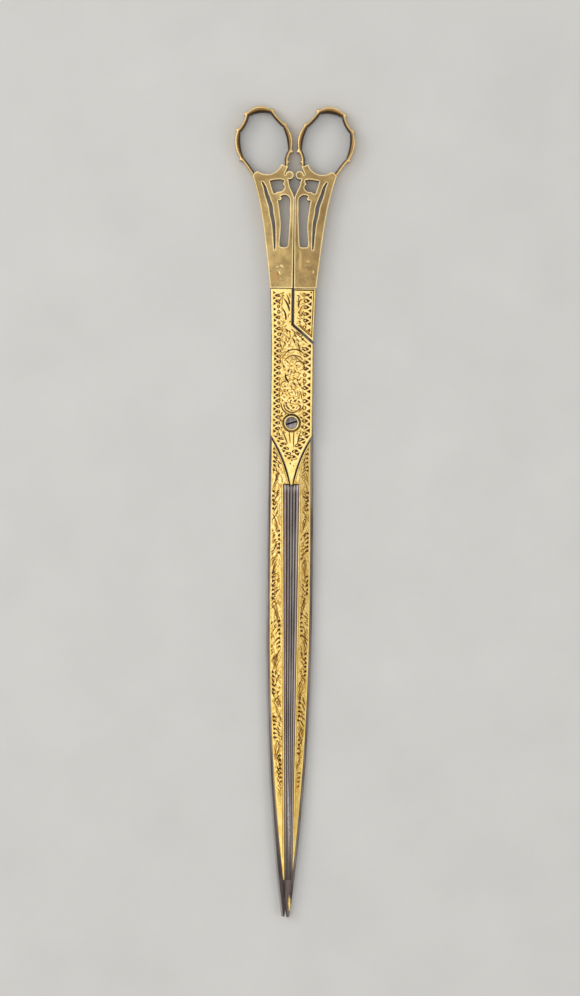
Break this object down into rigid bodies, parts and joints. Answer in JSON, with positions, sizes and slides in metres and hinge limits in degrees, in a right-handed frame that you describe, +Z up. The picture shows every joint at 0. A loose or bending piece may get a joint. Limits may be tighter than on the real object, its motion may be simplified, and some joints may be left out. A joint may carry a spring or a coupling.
{
  "type": "calligraphy scissors",
  "caption": "Long slender paper scissors with hollow-ground fluted blades, gold-covered shanks, pierced brass handles with lobed finger bows, and a shoulder-screw pivot.",
  "frame": {"origin": "on the pivot's axis, at the underside that the closed scissors lie on", "axes": "+Y along the length towards the finger bows (the tip is at -Y), +Z up through the thickness towards the screw's head, +X across the width towards the back half's bow"},
  "size_m": [0.0422, 0.284, 0.0064],
  "materials": {
    "forged_steel": "dark, streaky, lightly rusted",
    "cast_brass": "dull cast brass with bright edges",
    "bow_brass": "dull cast brass, worn bright on the rims",
    "gold_sheet": "chased gold sheet with a dark sunk ground",
    "screw_steel": "worn grey steel"
  },
  "bodies": {
    "back_half": {"back_blade": "forged_steel", "back_handle": "cast_brass", "back_bow": "bow_brass", "back_handle_rivets": "cast_brass", "back_shank_gold": "gold_sheet", "back_heel_gold": "gold_sheet", "back_edge_gold": "gold_sheet", "back_spine_gold": "gold_sheet", "pivot_screw": "screw_steel", "pivot_collar": "cast_brass"},
    "front_half": {"front_blade": "forged_steel", "front_handle": "cast_brass", "front_bow": "bow_brass", "front_handle_rivets": "cast_brass", "front_shank_gold": "gold_sheet", "front_heel_gold": "gold_sheet", "front_edge_gold": "gold_sheet", "front_spine_gold": "gold_sheet"}
  },
  "joints": [
    {"name": "pivot", "type": "hinge", "parent": "back_half", "child": "front_half", "pos_m": [0, 0, 0.0023], "axis": [0, 0, 1], "range_deg": [0, 140]}
  ]
}
